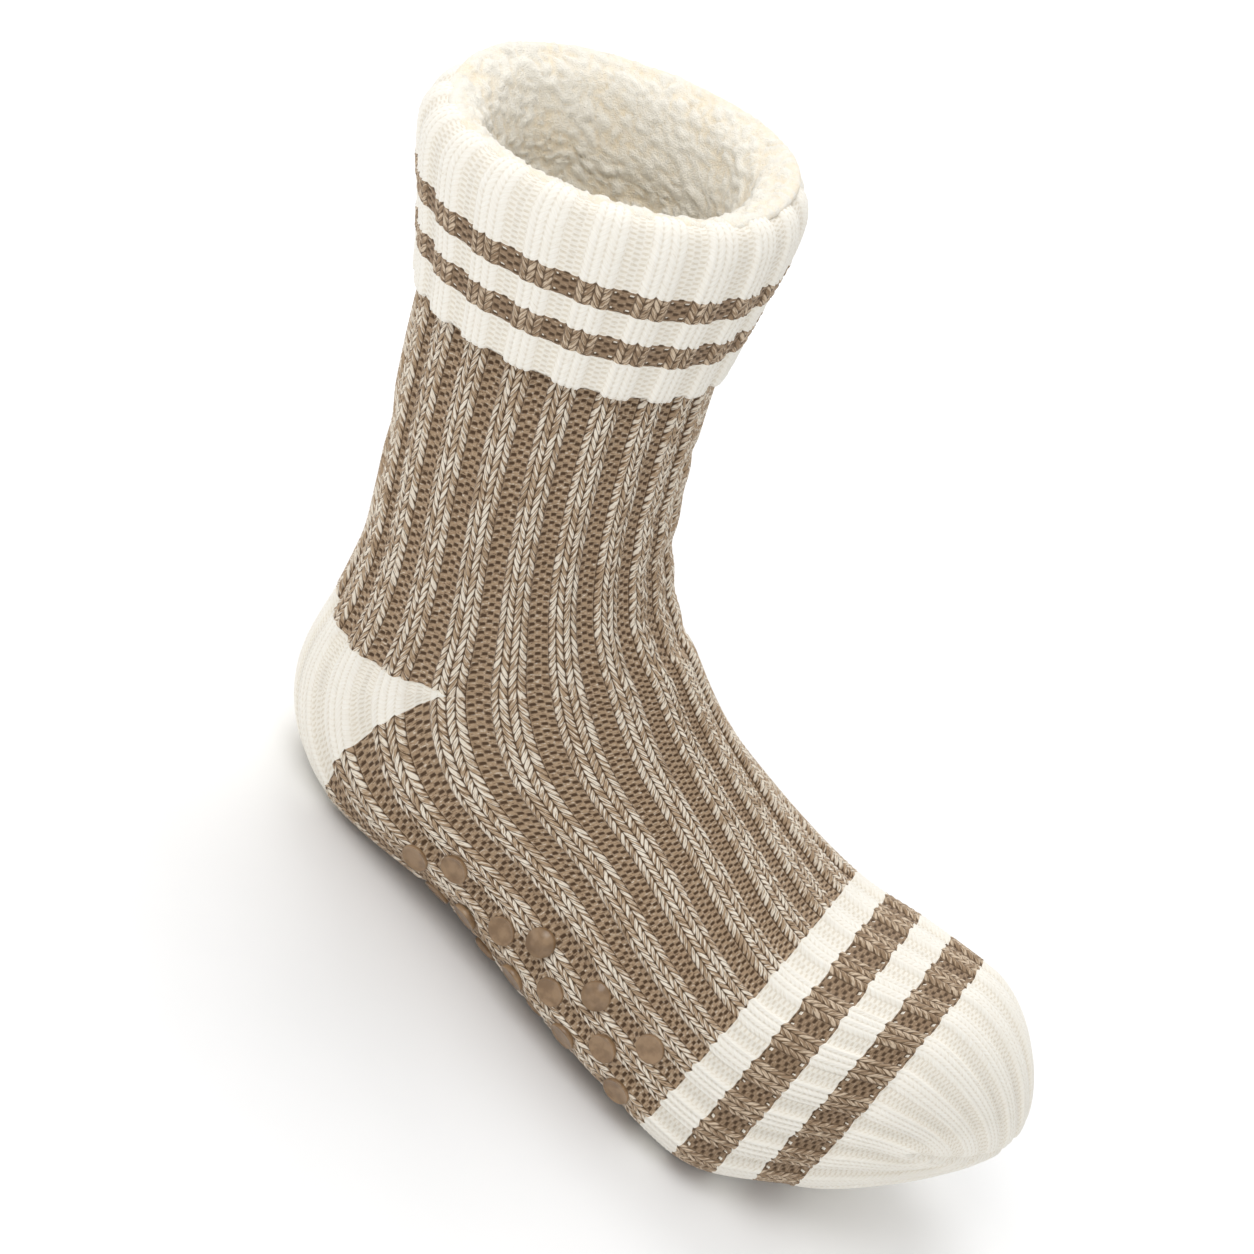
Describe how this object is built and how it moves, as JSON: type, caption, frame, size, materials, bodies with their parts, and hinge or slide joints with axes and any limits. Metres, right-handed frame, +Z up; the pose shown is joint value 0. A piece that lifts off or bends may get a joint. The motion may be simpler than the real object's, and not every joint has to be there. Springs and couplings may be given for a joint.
{
  "type": "slipper sock",
  "caption": "Thick rib-knit slipper sock with a turned-down striped cuff, short-row heel cup, striped toe, pile lining and grip dots under the foot.",
  "frame": {"origin": "centre of the bounding box in X and Y, at the plane that the sole rests on", "axes": "+X towards the toe, +Y towards the wearer's left, +Z up the leg; the sole rests on Z = 0"},
  "size_m": [0.3022, 0.109, 0.2216],
  "materials": {
    "knit": "heathered taupe rib knit with cream heel, toe and bands",
    "cuff_knit": "cream rib knit with two taupe stripes",
    "pile": "fluffy cream pile",
    "silicone": "translucent glossy domes"
  },
  "bodies": {
    "root": {"knit_body": "knit", "cuff": "cuff_knit", "lining": "pile", "grip_dot_01": "silicone", "grip_dot_02": "silicone", "grip_dot_03": "silicone", "grip_dot_04": "silicone", "grip_dot_05": "silicone", "grip_dot_06": "silicone", "grip_dot_07": "silicone", "grip_dot_08": "silicone", "grip_dot_09": "silicone", "grip_dot_10": "silicone", "grip_dot_11": "silicone", "grip_dot_12": "silicone", "grip_dot_13": "silicone", "grip_dot_14": "silicone", "grip_dot_15": "silicone", "grip_dot_16": "silicone", "grip_dot_17": "silicone", "grip_dot_18": "silicone", "grip_dot_19": "silicone", "grip_dot_20": "silicone", "grip_dot_21": "silicone", "grip_dot_22": "silicone", "grip_dot_23": "silicone", "grip_dot_24": "silicone", "grip_dot_25": "silicone", "grip_dot_26": "silicone", "grip_dot_27": "silicone", "grip_dot_28": "silicone", "grip_dot_29": "silicone", "grip_dot_30": "silicone", "grip_dot_31": "silicone", "grip_dot_32": "silicone", "grip_dot_33": "silicone", "grip_dot_34": "silicone", "grip_dot_35": "silicone", "grip_dot_36": "silicone", "grip_dot_37": "silicone", "grip_dot_38": "silicone", "grip_dot_39": "silicone", "grip_dot_40": "silicone", "grip_dot_41": "silicone", "grip_dot_42": "silicone", "grip_dot_43": "silicone", "grip_dot_44": "silicone", "grip_dot_45": "silicone", "grip_dot_46": "silicone", "grip_dot_47": "silicone", "grip_dot_48": "silicone", "grip_dot_49": "silicone", "grip_dot_50": "silicone", "grip_dot_51": "silicone", "grip_dot_52": "silicone", "grip_dot_53": "silicone", "grip_dot_54": "silicone", "grip_dot_55": "silicone"}
  },
  "joints": []
}
